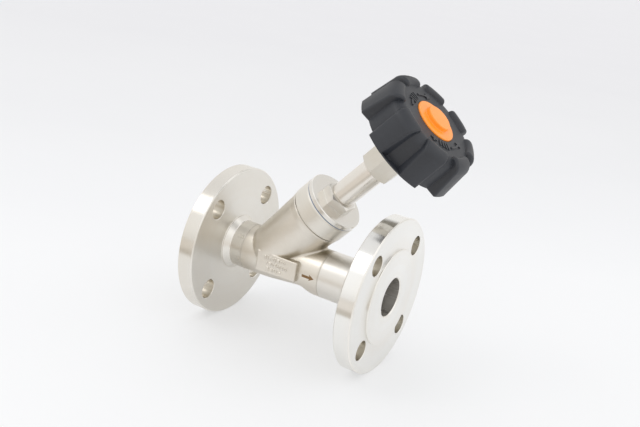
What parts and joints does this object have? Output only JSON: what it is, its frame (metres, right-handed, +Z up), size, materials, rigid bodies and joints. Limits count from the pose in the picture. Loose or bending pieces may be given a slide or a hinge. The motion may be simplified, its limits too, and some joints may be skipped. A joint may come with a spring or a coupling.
{
  "type": "flanged inclined-bonnet seat valve",
  "caption": "Flanged Y-pattern stop valve: waisted cast body with inclined branch, threaded bonnet, long stem tube and lobed rising handwheel that lifts a soft-seated plug.",
  "frame": {"origin": "centre of the inlet raised face, on the pipe axis", "axes": "+X along the pipe axis from inlet to outlet (flow direction), +Z up in the plane of the inclined bonnet, +Y completes the right-handed frame"},
  "size_m": [0.1729, 0.11, 0.2016],
  "materials": {
    "cast_stainless": "bead-blasted satin casting",
    "turned_stainless": "turned, fine concentric lay",
    "pipe_stainless": "drawn and lightly brushed",
    "weld_stainless": "dressed weld, faint heat tint",
    "polished_stainless": "polished",
    "hex_stainless": "satin hexagon bar",
    "arrow_tint": "brown tinted etch mark",
    "gasket_grey": "blue-grey joint ring",
    "ptfe": "white PTFE",
    "rubber_black": "black elastomer",
    "spring_steel": "bright spring wire",
    "brass": "machined brass",
    "wheel_plastic": "moulded charcoal, fine grain",
    "cap_orange": "moulded orange, soft gloss",
    "zinc_steel": "zinc-plated fastener"
  },
  "bodies": {
    "valve": {"valve_body": "cast_stainless", "inlet_flange": "turned_stainless", "outlet_flange": "turned_stainless", "outlet_spool": "pipe_stainless", "weld_inlet": "weld_stainless", "weld_body_outlet": "weld_stainless", "weld_outlet": "weld_stainless", "flow_arrow": "arrow_tint", "bonnet": "polished_stainless", "bonnet_gasket": "gasket_grey", "bonnet_tube": "polished_stainless", "spindle_housing": "hex_stainless", "stem_wiper": "rubber_black", "packing_washer": "polished_stainless", "packing_spring": "spring_steel", "packing_support": "brass", "packing_rings": "ptfe", "packing_follower": "brass"},
    "plug_set": {"plug": "polished_stainless", "seat_seal": "ptfe", "plug_washer": "polished_stainless", "plug_nut": "hex_stainless", "stem_clip": "spring_steel"},
    "spindle": {"stem": "polished_stainless", "handwheel": "wheel_plastic", "drive_bush": "brass", "wheel_washer": "zinc_steel", "wheel_screw": "zinc_steel", "wheel_cap": "cap_orange"}
  },
  "joints": [
    {"name": "stem_lift", "type": "slide", "parent": "valve", "child": "plug_set", "axis": [0.6373, 0, 0.7706], "range_m": [0, 0.012]},
    {"name": "handwheel_turn", "type": "hinge", "parent": "plug_set", "child": "spindle", "pos_m": [0.04286, 0, 0], "axis": [0.6373, 0, 0.7706], "range_deg": [0, 1440]}
  ],
  "couplings": [
    {"joint": "stem_lift", "follows": "handwheel_turn", "m_per_rad": 0.00047746}
  ]
}
